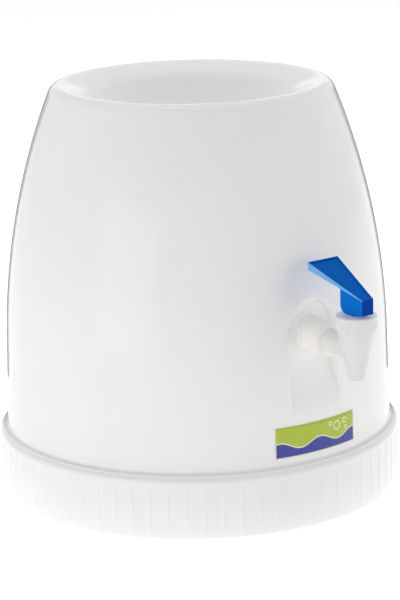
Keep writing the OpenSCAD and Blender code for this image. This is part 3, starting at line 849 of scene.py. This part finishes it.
def label_shape():
    """The label as a patch of the wall, with the print's coordinates."""
    width, height = LABEL_SIZE
    span = width / wall_radius(LABEL_LOW_Z + height / 2)
    vertices, prints = [], []
    for i in range(LABEL_ROWS + 1):
        for j in range(LABEL_COLUMNS + 1):
            u, v = j / LABEL_COLUMNS, i / LABEL_ROWS
            z = LABEL_LOW_Z + height * v
            r = wall_radius(z) + LABEL_LIFT
            a = span * (u - 0.5)
            vertices.append((r * math.sin(a), -r * math.cos(a), z))
            prints.append((u, v))
    faces = []
    for i in range(LABEL_ROWS):
        for j in range(LABEL_COLUMNS):
            k = i * (LABEL_COLUMNS + 1) + j
            faces.append((k, k + 1, k + LABEL_COLUMNS + 2, k + LABEL_COLUMNS + 1))
    return vertices, faces, prints


# Pieces


def make_dome():
    """The white dome, as a skin with a wall."""
    dome = new_piece(
        "dome", dome_shape(), "dispenser", DOME_WHITE, ["body_shell"], merge=0.01
    )
    thicken(dome, SHELL_WALL, FULL_WALL_Z)


def make_label():
    """The printed label on the wall under the tap."""
    *shape, prints = label_shape()
    label = new_piece("label", shape, "dispenser", FILM, ["front_label"])
    layer = label.data.uv_layers.new(name="print")
    for loop in label.data.loops:
        layer.data[loop.index].uv = prints[loop.vertex_index]
    thicken(label, LABEL_T)


def soften(node, width):
    """Rounds the sharp edges of a CAD node."""
    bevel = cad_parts[node].modifiers.new("edges", "BEVEL")
    bevel.width = width * MM
    bevel.segments = 3
    bevel.limit_method = "ANGLE"
    bevel.angle_limit = math.radians(SHARP_ANGLE)


make_dome()
ribbed = revolve(base_section(), RIB_COUNT * RIB_COLUMNS, grip_rib)
new_piece("base", ribbed, "base", BASE_WHITE, ["base_cap"])
new_piece("spout", spout_shape(), "dispenser", TAP_WHITE, ["tap_body"])
new_piece("bonnet", bonnet_shape(), "dispenser", TAP_WHITE, ["tap_bonnet"])
new_piece("lock_nut", lock_nut_shape(), "dispenser", IVORY, ["outer_lock_nut"])
new_piece("washer", washer_shape(), "dispenser", SILICONE, ["outer_washer"])
make_label()
soften("lever", LEVER_EDGE_R)

for node, material in (
    ("base_seal", SILICONE),
    ("inner_washer", SILICONE),
    ("shank_nut", TAP_WHITE),
    ("valve_bell", SILICONE),
    ("spring_cup", STEEL),
    ("return_spring", STEEL),
    ("valve_stem", TAP_WHITE),
    ("lever", BLUE),
):
    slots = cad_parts[node].data.materials
    slots.clear()
    slots.append(material)


# Stage: floor, light and camera


def make_sheet(name, corners, tone):
    """A flat matte sheet of the stage, with its material's nodes, shader and output."""
    mesh = bpy.data.meshes.new(name)
    mesh.from_pydata(corners, [], [(0, 1, 2, 3)])
    sheet = bpy.data.objects.new(name, mesh)
    bpy.context.scene.collection.objects.link(sheet)
    material = bpy.data.materials.new(name)
    material.use_nodes = True
    mesh.materials.append(material)
    tree = material.node_tree
    tree.nodes.clear()
    matte = tree.nodes.new("ShaderNodeBsdfDiffuse")
    matte.inputs["Color"].default_value = (tone, tone, tone, 1)
    out = tree.nodes.new("ShaderNodeOutputMaterial")
    tree.links.new(matte.outputs["BSDF"], out.inputs["Surface"])
    return sheet, tree, matte, out


def make_floor():
    """A pale floor that fills the view. It reads as white and still takes the object's shadow."""
    size = FLOOR_HALF
    corners = [(-size, -size, 0), (size, -size, 0), (size, size, 0), (-size, size, 0)]
    _, tree, matte, out = make_sheet("floor", corners, FLOOR_TONE)
    nodes, links = tree.nodes, tree.links
    glow = nodes.new("ShaderNodeEmission")
    path = nodes.new("ShaderNodeLightPath")
    level = nodes.new("ShaderNodeMapRange")
    level.inputs["To Min"].default_value = FLOOR_GLOW
    level.inputs["To Max"].default_value = FLOOR_GLOW_SEEN
    seen = path.outputs["Is Camera Ray"]
    for ray in ("Is Glossy Ray", "Is Transmission Ray"):
        seen = calc(tree, "MAXIMUM", seen, path.outputs[ray])
    links.new(seen, level.inputs["Value"])
    links.new(level.outputs["Result"], glow.inputs["Strength"])
    both = nodes.new("ShaderNodeAddShader")
    links.new(matte.outputs["BSDF"], both.inputs[0])
    links.new(glow.outputs["Emission"], both.inputs[1])
    links.new(both.outputs["Shader"], out.inputs["Surface"])


def make_flag():
    """A grey card behind the object. Only the gloss shows it, as a thin line along the outline."""
    away, (width, height), tone = FLAG
    half = width / 2
    corners = [(-half, away, 0), (half, away, 0), (half, away, height), (-half, away, height)]
    flag, *_ = make_sheet("flag", corners, tone)
    flag.rotation_euler = (0, 0, math.radians(CAMERA_AZIMUTH))
    flag.visible_camera = False
    flag.visible_diffuse = False
    flag.visible_shadow = False
    flag.visible_transmission = False


def make_world():
    """A pale room: bright along the horizon and dimmer overhead."""
    world = bpy.data.worlds.new("studio")
    bpy.context.scene.world = world
    world.use_nodes = True
    nodes, links = world.node_tree.nodes, world.node_tree.links
    background = nodes["Background"]
    way = nodes.new("ShaderNodeTexCoord")
    split = nodes.new("ShaderNodeSeparateXYZ")
    links.new(way.outputs["Generated"], split.inputs["Vector"])
    level = nodes.new("ShaderNodeMapRange")
    level.interpolation_type = "SMOOTHSTEP"
    level.inputs["From Max"].default_value = ROOM_ZENITH_FROM
    level.inputs["To Min"].default_value = ROOM_HORIZON
    level.inputs["To Max"].default_value = ROOM_ZENITH
    links.new(split.outputs["Z"], level.inputs["Value"])
    background.inputs["Color"].default_value = (1, 1, 1, 1)
    links.new(level.outputs["Result"], background.inputs["Strength"])


def area_light(name, azimuth, elevation, distance, size, power, in_gloss):
    """A soft box that looks at the middle of the object."""
    away = direction(azimuth, elevation)
    lamp = bpy.data.lights.new(name, "AREA")
    lamp.shape = "RECTANGLE"
    lamp.size, lamp.size_y = size
    lamp.energy = power
    obj = bpy.data.objects.new(name, lamp)
    obj.location = Vector(TARGET) * MM + away * distance
    obj.rotation_mode = "QUATERNION"
    obj.rotation_quaternion = (-away).to_track_quat("-Z", "Y")
    obj.visible_camera = False
    obj.visible_glossy = in_gloss
    bpy.context.scene.collection.objects.link(obj)


def make_camera():
    """The camera of the photograph, shifted so that the target falls on its pixel."""
    width, height = IMAGE_SIZE
    longest = max(IMAGE_SIZE)
    data = bpy.data.cameras.new("camera")
    data.sensor_width = SENSOR_MM
    data.lens = FOCAL_PX * SENSOR_MM / longest
    data.shift_x = (width / 2 - TARGET_PX[0]) / longest
    data.shift_y = (TARGET_PX[1] - height / 2) / longest
    data.clip_start, data.clip_end = CAMERA_CLIP
    camera = bpy.data.objects.new("camera", data)
    back = direction(CAMERA_AZIMUTH, CAMERA_ELEVATION)
    camera.location = (Vector(TARGET) + back * CAMERA_DISTANCE) * MM
    camera.rotation_mode = "QUATERNION"
    roll = Quaternion((0, 0, 1), math.radians(CAMERA_ROLL))
    camera.rotation_quaternion = (-back).to_track_quat("-Z", "Y") @ roll
    bpy.context.scene.collection.objects.link(camera)
    bpy.context.scene.camera = camera


make_floor()
make_flag()
make_world()
for soft_box in SOFT_BOXES:
    area_light(*soft_box)
make_camera()
bpy.context.scene.view_settings.view_transform = "Standard"
